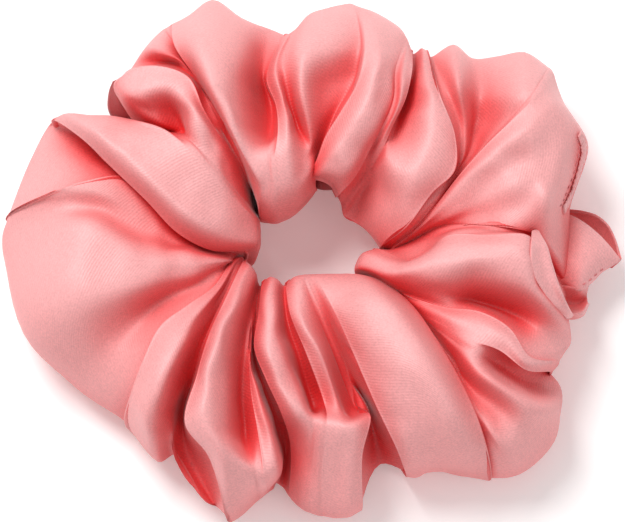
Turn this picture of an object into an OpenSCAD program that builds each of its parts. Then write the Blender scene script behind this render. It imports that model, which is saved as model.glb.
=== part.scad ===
// Scrunchie: a gathered satin tube on a loop of flat elastic, closed with a topstitched hem.
// The loop lies flat. The origin is at the middle of its box, on the surface that it rests on.
// The closing hem is on the +X side. That side pulls away from the -X side along +X.

/* [Overall] */
// Length over the gathers and the flap, along X
overall_x = 130; // [110:1:150]
// Width over the gathers, along Y
overall_y = 113; // [95:1:130]
// Height of the gathers above the surface
overall_z = 35; // [28:1:42]
// Length of the hair opening, along X
opening_x = 29; // [24:1:34]
// Width of the hair opening, along Y
opening_y = 23; // [20:1:28]
// How far the opening sits behind the middle, along +Y
opening_back = 5; // [0:0.5:8]

/* [Casing] */
// Number of gathers round the loop
gathers = 13; // [9:1:17]
// Depth of the valleys between the gathers
gather_depth = 7; // [3:0.5:9]
// Share of the gather depth that shows on the outer edge
edge_share = 0.6; // [0.2:0.1:0.8]
// Thickness of the gathered satin wall
wall = 1; // [0.8:0.1:1.5]
// Clearance between the two sides of the casing
side_gap = 0.3; // [0.2:0.05:0.6]

/* [Elastic] */
// Width of the flat elastic
elastic_w = 6; // [4:0.5:8]
// Thickness of the flat elastic
elastic_t = 1; // [0.7:0.1:1.3]
// Length of the relaxed elastic loop along X, at the middle of the band
elastic_x = 46; // [43:1:52]
// Width of the relaxed elastic loop along Y, at the middle of the band
elastic_y = 42; // [40:1:46]
// Height of the middle of the band above the surface
elastic_z = 8; // [6:0.5:12]
// Length of the stitched overlap of its two ends
elastic_overlap = 12; // [8:1:16]

/* [Seams] */
// Angle of the closing hem, from +X
hem_angle = 4; // [-10:1:10]
// How far the closing hem stands out of the casing
hem_out = 1.6; // [1:0.1:2.5]
// Thickness of the closing hem, round the loop
hem_t = 1.4; // [1:0.1:2]
// How far the loose flap of the hem reaches past the casing
flap_out = 9; // [5:0.5:12]
// Width of the flap where it leaves the casing, round the loop
flap_w = 17; // [10:1:22]
// Length of one topstitch
stitch_len = 1.2; // [0.8:0.1:1.5]
// Pitch of the topstitches
stitch_pitch = 1.8; // [1.8:0.1:2.6]
// Diameter of the sewing thread
thread_d = 0.35; // [0.3:0.05:0.5]

/* [Hidden] */
satin = [0.95, 0.60, 0.60];
satin_shade = [0.88, 0.47, 0.48];
elastic_white = [0.95, 0.93, 0.90];
thread_pink = [0.85, 0.38, 0.40];

steps_per_side = 44;   // cross-sections along each side of the casing
section_steps = 20;    // points round each cross-section
mid_z = overall_z * 0.42;
sink = 4;              // how far a cross-section would reach below the surface if it weren't flat
hem_embed = 0.7;       // how far the hem's root is set into the wall
flap_sharpness = 6;    // how quickly the flap narrows above and below its middle
seam_place = 198;      // where the long seam runs on the cross-section, low on the opening's side
tack_stitches = 8;
round_fn = 24;

function section_angle(i) = -90 + 180 * i / steps_per_side;
function ellipse_r(sx, sy, a) = 1 / sqrt(pow(cos(a) / sx, 2) + pow(sin(a) / sy, 2));
function crest(a) = (1 - cos(gathers * a)) / 2;

// The scalloped outer edge seen from above, then fitted to the overall length and width
function scallop(a) =
    let (r = ellipse_r(overall_x / 2, overall_y / 2, a) - gather_depth * edge_share * crest(a))
    [r * cos(a), r * sin(a)];
scallops = [for (i = [0 : 2 * steps_per_side - 1]) scallop(section_angle(i))];
low = [for (k = [0, 1]) min([for (q = scallops) q[k]])];
high = [for (k = [0, 1]) max([for (q = scallops) q[k]])];
fit_low = [-overall_x / 2 + side_gap / 2, -overall_y / 2];
fit_high = [overall_x / 2 - flap_out - side_gap / 2, overall_y / 2];
function outer_xy(a) =
    [for (k = [0, 1])
        fit_low[k] + (scallop(a)[k] - low[k]) * (fit_high[k] - fit_low[k]) / (high[k] - low[k])];
function inner_xy(a) =
    [(opening_x - side_gap) / 2 * cos(a), opening_back + opening_y / 2 * sin(a)];

// Cross-section a joins inner_xy(a) to outer_xy(a). Round it, p runs from the outer edge over
// the top to the opening and back underneath. d is the distance out of the casing's surface.
function half_w(a) = norm(outer_xy(a) - inner_xy(a)) / 2;
function outward(a) = (outer_xy(a) - inner_xy(a)) / (2 * half_w(a));
function top_z(a) = overall_z - gather_depth * crest(a + 90 / gathers);
function section_point(a, p, d) =
    let (rise = sin(p) > 0 ? top_z(a) - mid_z : mid_z + sink,
         xy = (inner_xy(a) + outer_xy(a)) / 2 + outward(a) * (half_w(a) + d) * cos(p),
         z = mid_z + (rise + d) * sin(p))
    [xy[0], xy[1], max(z, max(-d, 0))];
function section_loop(a, d) =
    [for (i = [0 : section_steps - 1]) section_point(a, i * 360 / section_steps, d)];

// Triangles between ring i and ring j of n points; flip turns them over
function band(i, j, n, flip) =
    [for (k = [0 : n - 1])
        let (a = i * n + k, b = i * n + (k + 1) % n, c = j * n + k, d = j * n + (k + 1) % n)
        each (flip ? [[a, b, c], [b, d, c]] : [[a, c, b], [b, c, d]])];

// A solid along rings of n points each, capped at both ends
module rod_of_rings(rings, n) {
    count = len(rings) / n;
    sides = [for (i = [0 : count - 2]) each band(i, i + 1, n, true)];
    start = [for (k = [0 : n - 1]) k];
    end = [for (k = [n - 1 : -1 : 0]) (count - 1) * n + k];
    polyhedron(rings, concat(sides, [start, end]));
}

// One stitch, a short rod from point a to point b
module stitch(a, b) {
    way = b - a;
    translate(a)
        rotate([0, acos(way[2] / norm(way)), atan2(way[1], way[0])])
            cylinder(h = norm(way), d = thread_d, $fn = round_fn);
}

// A hollow side of the casing, from a given cross-section, open at its two ends
module casing_side(first_step) {
    n = section_steps;
    rings = steps_per_side + 1;
    angles = [for (i = [0 : steps_per_side]) section_angle(first_step + i)];
    outer = [for (a = angles) each section_loop(a, 0)];
    inner = [for (a = angles) each section_loop(a, -wall)];
    skin = [for (i = [0 : rings - 2]) each band(i, i + 1, n, true)];
    lining = [for (i = [0 : rings - 2]) each band(rings + i, rings + i + 1, n, false)];
    first = band(0, rings, n, false);
    last = band(rings - 1, 2 * rings - 1, n, true);
    polyhedron(concat(outer, inner), concat(skin, lining, first, last));
}

module casing_left() {
    color(satin) translate([-side_gap / 2, 0, 0]) casing_side(steps_per_side);
}

module casing_right() {
    color(satin) translate([side_gap / 2, 0, 0]) casing_side(0);
}

// The hem is a low fin round the casing. At the outer edge it widens into the loose flap.
tip_turn = asin(hem_t / 2 / norm(outer_xy(hem_angle)));
edge_x = max([for (side = [-1, 1]) outer_xy(hem_angle + side * tip_turn)[0]]);
flap_tip = (overall_x / 2 - side_gap / 2 - edge_x) / outward(hem_angle)[0];
function flap(p) = pow(max(0, cos(p)), flap_sharpness);
function hem_top(p) = hem_out + (flap_tip - hem_out) * flap(p);
function hem_root(p) = (hem_t + flap_w * flap(p)) / 2;
function hem_side(p, d) =
    let (share = (d + hem_embed) / (hem_top(p) + hem_embed))
    hem_root(p) * (1 - share) + hem_t / 2 * share;
function hem_point(side, p, d) =
    let (turn = asin(hem_side(p, d) / norm(outer_xy(hem_angle))))
    section_point(hem_angle + side * turn, p, d);

module closing_hem() {
    n = section_steps;
    angles = [for (i = [0 : n - 1]) i * 360 / n];
    loops = concat([for (p = angles) hem_point(-1, p, hem_top(p))],
                   [for (p = angles) hem_point(1, p, hem_top(p))],
                   [for (p = angles) hem_point(1, p, -hem_embed)],
                   [for (p = angles) hem_point(-1, p, -hem_embed)]);
    faces = [for (i = [0 : 3]) each band(i, (i + 1) % 4, n, true)];
    color(satin_shade) translate([side_gap / 2, 0, 0]) polyhedron(loops, faces);
}

// The topstitches that close the tube, on both sides of the hem, clear of the resting surface
module closing_seam_thread() {
    round_length = PI * (half_w(hem_angle) + mid_z);
    count = floor(round_length / stitch_pitch);
    stitch_angle = 360 / count * stitch_len / stitch_pitch;
    row = hem_out / 2;
    color(thread_pink) translate([side_gap / 2, 0, 0])
        for (side = [-1, 1], i = [0 : count - 1]) {
            p = i * 360 / count;
            start = hem_point(side, p, row);
            end = hem_point(side, p + stitch_angle, row);
            if (min(start[2], end[2]) > thread_d) stitch(start, end);
        }
}

// The stitches of the lengthwise seam, on the lining, low on the opening's side
module long_seam_side(first_step) {
    depth = wall + thread_d;
    margin = 0.15;
    for (i = [first_step : first_step + steps_per_side - 1])
        stitch(section_point(section_angle(i + margin), seam_place, -depth),
               section_point(section_angle(i + 1 - margin), seam_place, -depth));
}

module long_seam_thread_left() {
    color(thread_pink) translate([-side_gap / 2, 0, 0]) long_seam_side(steps_per_side);
}

module long_seam_thread_right() {
    color(thread_pink) translate([side_gap / 2, 0, 0]) long_seam_side(0);
}

// The flat elastic follows an ellipse round the opening. Where its ends overlap, the upper
// one steps outside the lower one.
overlap_angle = elastic_overlap / (PI * elastic_y) * 360;
function step_out(a) =
    let (away = max(0, min(1, (abs(a) - overlap_angle) / overlap_angle)))
    (elastic_t + 0.1) * (1 - away * away * (3 - 2 * away));
function elastic_point(a, out, z) =
    let (r = ellipse_r(elastic_x / 2, elastic_y / 2, a) + out)
    [r * cos(a), opening_back + r * sin(a), elastic_z + z];

module elastic_strip(from, to, stepped) {
    turns = 32;
    corners = [[-1, -1], [1, -1], [1, 1], [-1, 1]];
    rings = [for (i = [0 : turns], c = corners)
        let (a = from + (to - from) * i / turns)
        elastic_point(a, c[0] * elastic_t / 2 + (stepped ? step_out(a) : 0),
                      c[1] * elastic_w / 2)];
    rod_of_rings(rings, 4);
}

module elastic_left() {
    color(elastic_white) translate([-side_gap / 2, 0, 0]) elastic_strip(90, 270, false);
}

module elastic_right() {
    color(elastic_white) translate([side_gap / 2, 0, 0]) {
        elastic_strip(-90, overlap_angle / 2, false);
        elastic_strip(-overlap_angle / 2, 90, true);
    }
}

// A row of slanted tack stitches over the overlap, on both faces of the doubled elastic
module elastic_join_thread() {
    reach = elastic_w / 2 - 0.6;
    inner_face = -elastic_t / 2 - thread_d / 3;
    outer_face = elastic_t / 2 + thread_d / 3 + step_out(0);
    pitch = overlap_angle * 0.8 / tack_stitches;
    color(thread_pink) translate([side_gap / 2, 0, 0])
        for (face = [inner_face, outer_face], i = [0 : tack_stitches - 1]) {
            a = pitch * (i - tack_stitches / 2);
            stitch(elastic_point(a, face, -reach), elastic_point(a + pitch / 2, face, reach));
        }
}

casing_left();
casing_right();
closing_hem();
closing_seam_thread();
long_seam_thread_left();
long_seam_thread_right();
elastic_left();
elastic_right();
elastic_join_thread();
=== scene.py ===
import math

import bpy
import numpy as np
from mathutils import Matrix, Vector
from mathutils.bvhtree import BVHTree


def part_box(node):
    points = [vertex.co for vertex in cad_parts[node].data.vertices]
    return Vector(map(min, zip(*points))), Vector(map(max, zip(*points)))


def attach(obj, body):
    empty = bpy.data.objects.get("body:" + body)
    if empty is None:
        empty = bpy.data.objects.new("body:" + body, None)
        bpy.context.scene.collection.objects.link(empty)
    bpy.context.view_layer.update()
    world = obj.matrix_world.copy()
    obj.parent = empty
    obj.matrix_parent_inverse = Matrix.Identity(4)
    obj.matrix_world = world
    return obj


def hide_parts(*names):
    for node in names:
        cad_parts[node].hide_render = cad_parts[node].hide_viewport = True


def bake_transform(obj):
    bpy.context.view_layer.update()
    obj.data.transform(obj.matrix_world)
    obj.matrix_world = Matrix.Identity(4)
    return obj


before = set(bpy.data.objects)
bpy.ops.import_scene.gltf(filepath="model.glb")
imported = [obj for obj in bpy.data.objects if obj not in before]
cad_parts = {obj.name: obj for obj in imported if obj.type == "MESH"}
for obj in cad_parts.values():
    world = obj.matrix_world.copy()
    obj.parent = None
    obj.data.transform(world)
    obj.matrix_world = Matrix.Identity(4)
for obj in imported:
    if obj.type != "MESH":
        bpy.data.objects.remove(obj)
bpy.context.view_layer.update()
MM = 0.001

# ---------------- camera and stage
ELEVATION = math.radians(75)   # the loop lies flat and is seen from well above its front
AIM = Vector((0.0, 0.0, 17 * MM))
DISTANCE = 0.9
VIEW_WIDTH = 130.6 * MM        # what the frame's width takes in, at the aim point


def add_camera():
    data = bpy.data.cameras.new("camera")
    data.sensor_width = 36
    data.lens = data.sensor_width * DISTANCE / VIEW_WIDTH
    data.clip_start = 0.01
    camera = bpy.data.objects.new("camera", data)
    away = Vector((0, -math.cos(ELEVATION), math.sin(ELEVATION)))
    camera.location = AIM + away * DISTANCE
    camera.rotation_euler = (-away).to_track_quat("-Z", "Y").to_euler()
    bpy.context.collection.objects.link(camera)
    bpy.context.scene.camera = camera


def add_area_light(name, place, size, power, colour):
    data = bpy.data.lights.new(name, "AREA")
    data.shape = "DISK"
    data.size = size
    data.energy = power
    data.color = colour
    light = bpy.data.objects.new(name, data)
    light.location = place
    light.rotation_euler = (Vector(place) * -1).to_track_quat("-Z", "Y").to_euler()
    bpy.context.collection.objects.link(light)


def add_stage():
    scene = bpy.context.scene
    scene.view_settings.view_transform = "Standard"
    world = bpy.data.worlds.new("studio")
    scene.world = world
    world.use_nodes = True
    world.node_tree.nodes["Background"].inputs["Color"].default_value = (1, 1, 1, 1)
    world.node_tree.nodes["Background"].inputs["Strength"].default_value = 0.50
    add_area_light("key", (-0.32, 0.36, 0.82), 0.45, 6.8, (1, 0.99, 0.98))
    add_area_light("fill", (0.5, -0.4, 0.6), 0.6, 0.9, (1, 1, 1))

    mesh = bpy.data.meshes.new("floor")
    half = 1.5
    mesh.from_pydata([(-half, -half, 0), (half, -half, 0), (half, half, 0), (-half, half, 0)],
                     [], [(0, 1, 2, 3)])
    floor = bpy.data.objects.new("floor", mesh)
    bpy.context.collection.objects.link(floor)
    material = bpy.data.materials.new("pale_floor")
    material.use_nodes = True
    shader = material.node_tree.nodes["Principled BSDF"]
    shader.inputs["Base Color"].default_value = (0.97, 0.97, 0.97, 1)
    shader.inputs["Roughness"].default_value = 0.9
    shader.inputs["Emission Color"].default_value = (1, 1, 1, 1)
    shader.inputs["Emission Strength"].default_value = 0.16   # a light table, so shadows stay pale
    mesh.materials.append(material)


# ---------------- the gathered casing
# The folds, clockwise as seen from above, from the narrow valley at the bottom. Each line's seven
# points run from the opening's lip to the outer edge, in millimetres: across and up, as they
# appear from the camera's side, and the height above the floor. An edge lies OVER_NEXT or OVER_LAST
# line, and its gaps say how far above, point by point.
OPEN, OVER_NEXT, OVER_LAST = "open", "over next", "over last"


def bend(*line):
    """A crest or a valley."""
    return OPEN, None, line


def edge(kind, gaps, *line):
    """The edge of a fold, which lies over the line beside it."""
    return kind, gaps, line


FOLDS = [
    # the thin upright ridge and the pocket left of it
    bend((-11, -5.4, 15), (-11.6, -11.5, 19), (-12, -19, 19.5), (-10.3, -26, 17.5), (-7.8, -33, 14),
         (-6, -40, 8), (-6.5, -47, 4)),
    bend((-11.2, -5.2, 15), (-12, -11.7, 20), (-12.4, -19, 24), (-11, -26.5, 26), (-8.9, -34, 27),
         (-7.1, -41.5, 25), (-8, -46.3, 10)),
    edge(OVER_NEXT, (0, 0, 1.5, 3, 2, 0, 0), (-11.4, -4.8, 15.5), (-12.4, -11.5, 20.5), (-13, -19, 24),
         (-12.7, -26.5, 25), (-11.4, -34, 25.5), (-9.8, -43.8, 25.5), (-9.3, -48, 9)),
    bend((-11.7, -4, 17), (-13.2, -11, 21.5), (-14.2, -18.5, 22), (-14.7, -26, 20.5), (-14, -36, 19),
         (-12.4, -42.3, 26.5), (-11.5, -49.8, 9)),
    bend((-12, -2.6, 19), (-14.7, -10, 26), (-16.5, -17.5, 28.5), (-17.3, -25, 28.5), (-17, -34, 28.5),
         (-15.3, -40.7, 28), (-14.3, -52.2, 9)),
    # the ridge that ends in the open pocket
    bend((-13, -1, 21), (-16, -8.5, 28), (-18.8, -15.8, 32), (-20.7, -23.5, 33), (-21.3, -31.5, 33),
         (-18.5, -41, 29), (-16.8, -53.7, 10)),
    edge(OVER_NEXT, (1.5, 2.5, 3, 3.5, 6, 9, 4), (-14.4, 0, 18.5), (-17.9, -7.5, 25), (-21.3, -15.2, 28.5),
         (-23.7, -23.3, 30), (-26, -33, 29.5), (-21.3, -40, 25), (-17.6, -53.2, 13)),
    bend((-14.6, 0.4, 17), (-18.5, -7.3, 22), (-22.3, -15.8, 24), (-24.9, -24, 22), (-27, -33, 14),
         (-25, -42, 9), (-19.8, -51.5, 6)),
    bend((-14.7, 0.5, 17), (-18.6, -7.1, 22.3), (-22.5, -15.3, 24.5), (-25.5, -23.2, 23), (-27.7, -32, 16),
         (-27.9, -41, 13), (-22.6, -50, 9)),
    # the ridge next to the big left panel
    bend((-14.9, 0.7, 17), (-18.9, -6.6, 23), (-23, -14.6, 26.5), (-26.4, -22, 26), (-28.5, -30, 23),
         (-29.2, -36, 17.5), (-28.6, -39.9, 8)),
    bend((-15.6, 0.8, 18), (-19.8, -6, 25.5), (-24.7, -13.3, 30), (-28.5, -20.5, 32), (-31.5, -27.8, 30.5),
         (-33.3, -34.5, 25), (-32.5, -41, 10)),
    edge(OVER_NEXT, (1, 1.5, 2, 3, 3.5, 4, 3), (-16.7, 0.4, 17.5), (-20.6, -5.3, 23), (-26, -9.2, 26.5),
         (-31.3, -13.3, 28), (-34.8, -20.3, 28), (-37.4, -27.2, 24), (-39.2, -33.3, 12)),
    # the big left panel
    bend((-17.1, -0.3, 19), (-23, -4, 21.5), (-31, -8.3, 21.5), (-38, -14, 21.5), (-43, -20, 19.5),
         (-47.5, -24.7, 14), (-50, -26.5, 8)),
    bend((-17.1, -0.1, 20), (-23, -2.3, 24), (-31, -4.5, 27), (-40, -7, 29), (-49, -10, 28),
         (-56, -13.5, 22), (-60, -15.5, 11)),
    bend((-17.2, 0.2, 21), (-23, -0.3, 25), (-31, 0, 28), (-40, 0.8, 30), (-50, 1, 29.5), (-59, 0.5, 22),
         (-64.7, -0.5, 11)),
    bend((-17.2, 0.5, 21), (-24, 1.9, 25), (-31, 3, 27), (-38.5, 4.5, 29), (-47, 7.5, 29.5), (-56, 8, 23),
         (-64.9, 5, 12)),
    bend((-17, 0.7, 19), (-24, 2.5, 22.5), (-30, 4.3, 24), (-37, 6.9, 25.5), (-44.5, 10.4, 26.5),
         (-53, 12, 25), (-63.8, 8.6, 14)),
    bend((-16.8, 0.9, 18.5), (-23.5, 3, 21.5), (-30, 6, 23.5), (-37, 11, 26), (-45, 13.8, 28),
         (-54, 13, 25.5), (-63.9, 9, 14)),
    edge(OVER_NEXT, (0, 0, 0, 1, 2.5, 2.5, 2), (-16.5, 1.1, 17.5), (-23, 3.4, 21), (-29, 7.2, 22.5),
         (-38.5, 17.3, 27), (-47.5, 16.5, 28.5), (-55, 13.8, 26), (-64, 9.4, 15)),
    # the panel behind it, under the upper left roll
    bend((-16, 1.4, 17), (-22.5, 3.3, 20), (-28.5, 7, 22), (-37, 16.5, 25), (-44, 19.5, 23.5),
         (-52.5, 21, 20), (-60, 20.8, 11)),
    bend((-15.5, 1.6, 17), (-22, 3, 20), (-28.5, 7, 22), (-36.5, 15.8, 23), (-43.5, 21.8, 21),
         (-50.5, 26.5, 16), (-57, 27.2, 9)),
    # upper left roll
    edge(OVER_LAST, (1, 1.5, 1.5, 1.5, 3, 4, 3), (-14.6, 1.9, 18), (-21, 2.2, 22), (-28, 5.8, 25.5),
         (-34.5, 12.5, 28), (-41, 18.7, 28.5), (-47.5, 25, 28), (-54.6, 29.6, 18)),
    bend((-11.8, 3.4, 20), (-19, 5, 27), (-26, 9.5, 32), (-33, 16, 34), (-40, 22.5, 34), (-46.5, 27.8, 32),
         (-52, 30.8, 21)),
    bend((-11.5, 6.3, 21), (-18, 9.5, 28), (-25, 14, 32), (-31.5, 19.5, 34), (-37.5, 25, 33.5),
         (-42.5, 28.6, 31), (-46.8, 30.4, 22)),
    edge(OVER_NEXT, (0, 0, 0, 0, 8, 10, 8), (-11.6, 8.8, 21), (-16.5, 13.3, 28), (-21, 18, 32),
         (-26.2, 23.8, 33.5), (-30.5, 27.2, 32), (-36.5, 29.2, 29), (-42.6, 30.1, 22)),
    # the cave behind it, and the hood over the cave
    bend((-12.6, 11, 20), (-16.5, 15.5, 28), (-20.7, 20.5, 32), (-25.6, 25.6, 32), (-27.4, 27.2, 23.5),
         (-32.4, 28.6, 26), (-35, 29, 25)),
    bend((-13, 12.6, 20), (-16.6, 17.3, 28), (-20.3, 22.8, 32), (-24.7, 28, 34), (-28.3, 30.7, 26),
         (-34, 31.8, 28.5), (-36.6, 31.4, 27)),
    bend((-13, 13.8, 20), (-16.2, 19, 27.5), (-19.8, 25, 32), (-23.8, 30.5, 35), (-28.8, 35, 32.5),
         (-36, 35, 31.5), (-39, 34.3, 28.5)),
    edge(OVER_NEXT, (0, 0, 0, 2, 3, 3, 0), (-13, 14.5, 19.5), (-15.8, 20.3, 26.5), (-19, 25.6, 30.5),
         (-22.4, 31.3, 32), (-26, 38.4, 32), (-34.5, 40.6, 31), (-41, 37.5, 27)),
    bend((-12.8, 14.8, 19), (-15.3, 21, 26), (-18.4, 26.4, 28.5), (-21.4, 32.3, 29), (-25.2, 38.8, 25.5),
         (-31, 41.9, 19), (-39, 40.2, 12)),
    bend((-12.6, 14.8, 19), (-15.1, 21, 25.8), (-18, 26.5, 28), (-21, 32.5, 28.7), (-25.1, 39.4, 26.5),
         (-32.3, 44, 24.5), (-36.6, 43.7, 12)),
    bend((-12.5, 14.7, 19), (-14.9, 21, 25.5), (-17.6, 26.6, 27.5), (-20.6, 32.8, 28.5), (-25.2, 40.3, 25),
         (-29.9, 46.3, 19), (-32.6, 48.4, 12)),
    # the wide ridge at the top left
    edge(OVER_LAST, (0.5, 1.5, 2, 1.5, 2.5, 3, 0.4), (-12, 13.2, 21), (-14, 19.4, 27), (-16.5, 25, 30),
         (-19.8, 31, 31), (-24.6, 38.5, 28), (-28.9, 45, 25), (-29.8, 50.2, 17)),
    bend((-11.6, 12, 22), (-12.9, 18, 29), (-15.6, 24.3, 33), (-18.8, 31, 34.5), (-22, 38.5, 35),
         (-24.7, 46.2, 31.5), (-26, 52, 17)),
    bend((-11.4, 10, 22), (-12, 16, 29.5), (-14, 22.6, 33), (-16.6, 30.3, 35), (-18.8, 38.3, 35),
         (-20, 46.8, 31), (-20.8, 54.8, 16)),
    bend((-10.8, 8.9, 20), (-11, 14.5, 29), (-12.3, 20.5, 32.5), (-14, 28, 32), (-14.8, 36, 31),
         (-15, 43.5, 29), (-15, 51.2, 15)),
    # the deep pocket beside it
    bend((-9.2, 8.3, 20), (-9.2, 14.5, 29), (-9.6, 22.5, 32), (-9.1, 26, 24), (-9.4, 32.5, 19),
         (-11, 40.5, 19), (-9.5, 49.2, 11)),
    edge(OVER_LAST, (0, 0, 0, 4, 7, 6, 2), (-7.3, 8.3, 20), (-7.3, 14, 29), (-7.7, 21.5, 33),
         (-7.2, 27.3, 32), (-7.7, 32.5, 29), (-9.6, 38, 27.5), (-6, 47.8, 16)),
    # thin fold, then the big lobe at the top
    bend((-4.6, 9.6, 20), (-4.7, 15, 29), (-4.9, 21.5, 33), (-5, 27.5, 33.5), (-6, 33.5, 31.5),
         (-7.6, 39.3, 30.5), (-4.6, 48, 20)),
    bend((-1.8, 12, 20), (-1.9, 16.5, 28), (-1.9, 22, 29.5), (-2.9, 28.5, 27), (-4.4, 34, 28),
         (-5.6, 40, 28.5), (-2.8, 49, 17)),
    bend((0.2, 14.3, 19), (-0.1, 18, 27), (-0.3, 22.5, 29), (-1, 29, 32), (-1.8, 36, 34), (-1.8, 43.5, 32),
         (0, 52, 14)),
    bend((0.6, 15, 20), (0.4, 19, 26), (0.9, 23.2, 27), (1.9, 29.5, 28), (2.8, 36.5, 28), (4.2, 44, 31),
         (4, 54, 15)),
    bend((1, 15.4, 18), (1, 18.5, 24), (2, 24.2, 25), (5, 31, 25.5), (8.3, 37.5, 26.5), (9.4, 44.3, 28),
         (7.5, 54.8, 15)),
    edge(OVER_LAST, (5, 3, 2, 1.5, 0, 0, 0), (-0.8, 17.6, 24), (0.8, 21, 27), (2.6, 25.8, 29),
         (5.8, 31, 31), (9.2, 37, 32), (10.8, 43.5, 32), (9.8, 54, 16)),
    bend((1.6, 17.6, 26), (4.2, 21.5, 31), (7.2, 25.8, 33), (10.2, 31, 35), (12.7, 37, 35), (14.2, 44, 33),
         (13.3, 52.6, 18)),
    bend((4.2, 16.2, 24), (7.3, 18.8, 29), (10.3, 24, 31), (13, 29.5, 33), (15, 36.5, 33), (16.3, 43, 31),
         (18.5, 49.6, 18)),
    edge(OVER_NEXT, (4, 2.5, 1.5, 0, 0, 0, 0), (5.6, 13.8, 21), (9.1, 17.8, 25), (12.2, 23.6, 28),
         (14.7, 28.3, 30), (16.8, 33.3, 30.5), (17.3, 39.7, 30), (20, 47, 18)),
    # a thin limb over the dark slit
    bend((6.2, 12.2, 14), (9.9, 17.2, 20), (13.2, 22.8, 27), (16, 28, 31), (18.2, 33.3, 32), (19, 39.3, 31),
         (20.5, 45.5, 19)),
    edge(OVER_NEXT, (0, 0, 0, 3, 5, 4, 1), (6.4, 10.9, 13), (10.5, 16.6, 20), (14.4, 23, 27.5),
         (16.8, 28.3, 30), (19.3, 33.5, 30.5), (20.7, 39, 29), (21, 44.3, 17)),
    # the rounded fold right of the slit
    bend((7, 9.5, 12), (11.4, 15.4, 19), (15.2, 21.6, 29), (17.2, 26.3, 27), (19.4, 31.5, 26.5),
         (21.1, 37.5, 26), (21.5, 43.9, 14)),
    bend((8.8, 8.5, 12), (12.8, 14.2, 21), (17, 19.4, 30), (19.5, 25.5, 28.5), (21.3, 31.5, 28.5),
         (22.3, 37.5, 28.5), (22.2, 44.8, 15)),
    bend((11.8, 6.3, 15), (16.5, 11, 25.5), (21, 17, 31), (23.5, 23.5, 32), (24.7, 30, 32), (24.2, 37, 31),
         (23.4, 45.6, 17)),
    edge(OVER_NEXT, (0.5, 1, 1.5, 1.5, 2.5, 2, 1), (14.8, 3.2, 17), (19.8, 7.3, 24.5), (24.8, 14, 28),
         (29.5, 18.8, 29), (29.6, 26, 30), (26.7, 34.3, 30), (24.4, 44.3, 17)),
    # the small folds behind, then the big right panel
    bend((15.5, 2.8, 16), (21, 7.6, 23), (26.5, 14.6, 26.5), (30.2, 19.8, 26), (31, 27, 25.5),
         (28.3, 35.5, 27), (25.4, 43, 16)),
    bend((15.8, 2.7, 16), (21.5, 7.9, 23), (27.3, 15.2, 26.5), (30.9, 20.4, 26), (32.2, 28, 26.5),
         (30.7, 37.5, 30), (30, 45, 17)),
    bend((16, 2.6, 16), (21.9, 8.1, 23), (27.9, 15.6, 26.5), (31.6, 20.9, 25), (33.8, 28.5, 22),
         (34.5, 35, 22.5), (34, 42.3, 14)),
    bend((16.1, 2.6, 16), (22.2, 8.2, 23), (28.3, 15.9, 26.5), (32.5, 21.6, 25), (36, 28, 23),
         (38, 34.5, 25), (39, 42.8, 16)),
    bend((16.2, 2.6, 16), (22.5, 8.4, 23), (28.8, 16.2, 26.5), (33.7, 22.6, 26), (38.2, 28.2, 26.5),
         (42.8, 35, 30), (44.5, 43.5, 17)),
    bend((16.3, 2.5, 16), (22.8, 8.5, 23), (29.1, 16.4, 26.5), (34.6, 23.1, 26), (39.6, 28.4, 27.5),
         (45, 34.6, 30.5), (49, 41.3, 17)),
    edge(OVER_LAST, (0.2, 0.5, 1.5, 2.5, 1.5, 0, 0), (16.5, 2.5, 16.5), (23.2, 8.3, 23.5),
         (29.6, 16.8, 27.5), (35.3, 23.4, 29.5), (40.3, 28.3, 31.5), (46, 33.8, 32), (51, 39.5, 17)),
    bend((16.8, 2.5, 17), (24, 8.2, 24), (31, 16.3, 29), (38, 22.3, 32.5), (44.3, 27.5, 34),
         (49.8, 31.8, 31), (53.6, 31.3, 15)),
    bend((17, 2.4, 17), (25, 8, 23.5), (33.5, 14.5, 28), (41, 19.5, 30.5), (47, 22.7, 31.5),
         (52.5, 24.8, 29), (57, 24.6, 17.5)),
    bend((17.3, 2.4, 16.5), (25.7, 7.6, 23), (34.7, 12.2, 28), (42, 15.5, 31), (47.5, 17.4, 31),
         (52, 18.6, 27.5), (56.2, 19.2, 17.5)),
    bend((17.6, 2.3, 16), (26.3, 7.5, 22), (35.2, 9.8, 26.5), (42.5, 11.2, 29.5), (48.2, 12.4, 31),
         (51.2, 12.8, 25), (54.5, 13, 16.5)),
    edge(OVER_NEXT, (0, 0.5, 1, 1, 0, 0, 0), (18, 2.2, 15.5), (26.8, 7.2, 21.5), (34.8, 7.3, 26),
         (41.5, 6.7, 28.5), (47, 5, 25), (50.8, 1, 19), (53.7, -3, 12)),
    # the cuff
    bend((15.5, 2.2, 16), (22.8, 3.6, 21), (30.5, 6.6, 26), (38, 6.2, 28), (45.6, 4.6, 26), (48.3, 0, 17),
         (53.3, -6.5, 11)),
    edge(OVER_LAST, (1, 1.5, 1, 0, 0, 0, 0), (13.5, 2.6, 18.5), (21.5, 0.2, 24), (28, 5.3, 28.5),
         (36, 5.4, 30.5), (44, 5.3, 32), (46, 2.6, 28.5), (52.8, -8, 14)),
    bend((10.8, 1.7, 19.5), (18, -0.4, 26), (27, 2.2, 31), (35.5, 2.8, 33), (44, 2.6, 33.5),
         (46.3, -0.8, 29), (53, -10, 14)),
    bend((9.7, 0, 20), (17, -1.7, 27), (26, -0.7, 31.5), (34.5, 0, 33), (44, -0.4, 33.5), (47, -4, 29),
         (53.2, -12, 14)),
    bend((9.4, -1.6, 20), (17, -3.6, 26), (26, -4, 29.5), (33.5, -4.2, 29), (42.5, -5.4, 30.5),
         (48.5, -9, 27.5), (53.6, -14.5, 14)),
    bend((10.8, -2.4, 18.5), (18, -5.5, 23.5), (26.5, -6.8, 25.5), (34, -8.2, 20.5), (41, -10.5, 19),
         (47, -14, 21.5), (53.5, -16.6, 13)),
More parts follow.
